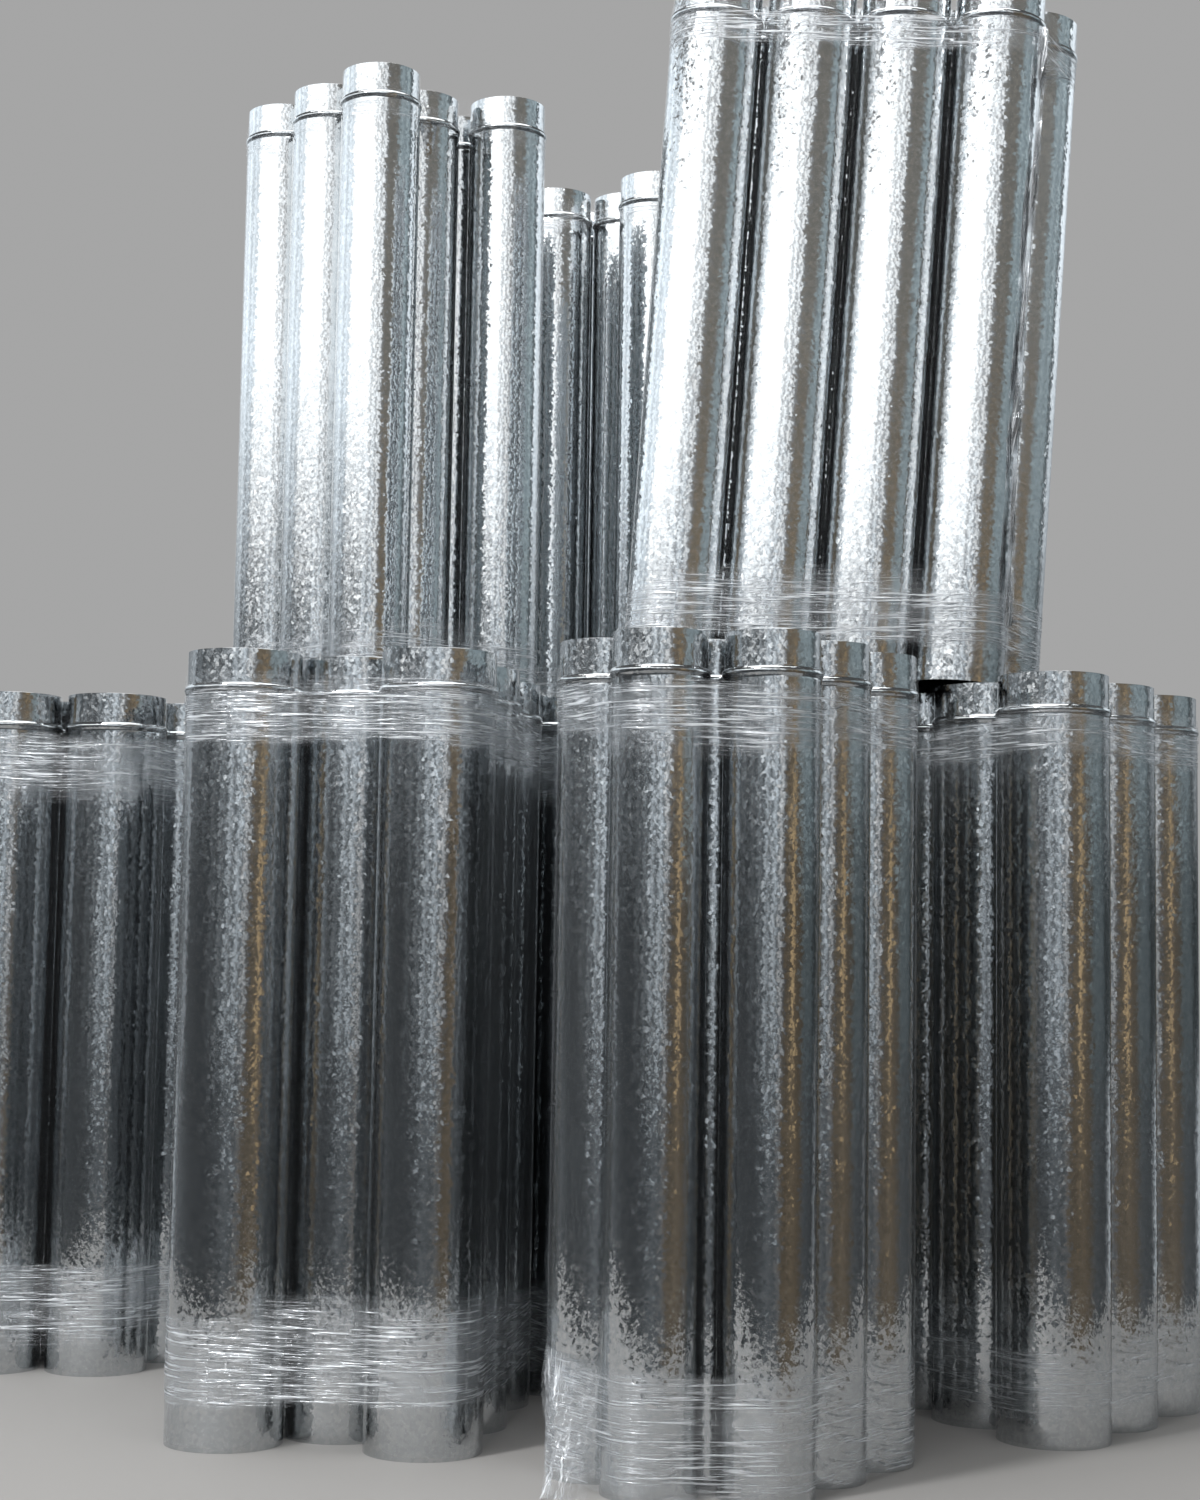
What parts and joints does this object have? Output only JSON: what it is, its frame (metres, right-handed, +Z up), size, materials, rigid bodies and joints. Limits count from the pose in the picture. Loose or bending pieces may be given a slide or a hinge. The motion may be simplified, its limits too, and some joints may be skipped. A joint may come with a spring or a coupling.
{
  "type": "two-tier stack of film-wrapped sheet-steel tubes",
  "caption": "Galvanised sheet-steel tubes with beaded spigot ends, standing upright in stretch-wrapped bundles, one tier on top of another.",
  "frame": {"origin": "centre of the bounding box on the floor", "axes": "+X to the right along the front, +Y to the back, +Z up along the tubes"},
  "size_m": [2.293, 2.2546, 2.4075],
  "materials": {
    "galvanised_steel": "spangled hot-dip zinc, semi-gloss",
    "stretch_film": "clear wrinkled film"
  },
  "bodies": {
    "root": {"left_tubes": "galvanised_steel", "left_film": "stretch_film", "narrow_tubes": "galvanised_steel", "narrow_film": "stretch_film", "right_tubes": "galvanised_steel", "right_film": "stretch_film", "end_tubes": "galvanised_steel", "end_film": "stretch_film", "behind_left_tubes": "galvanised_steel", "behind_left_film": "stretch_film", "behind_narrow_tubes": "galvanised_steel", "behind_narrow_film": "stretch_film", "back_tubes": "galvanised_steel", "back_film": "stretch_film", "upper_left_tubes": "galvanised_steel", "upper_left_film": "stretch_film", "upper_back_tubes": "galvanised_steel", "upper_back_film": "stretch_film", "upper_leaning_tubes": "galvanised_steel", "upper_leaning_film": "stretch_film"}
  },
  "joints": []
}
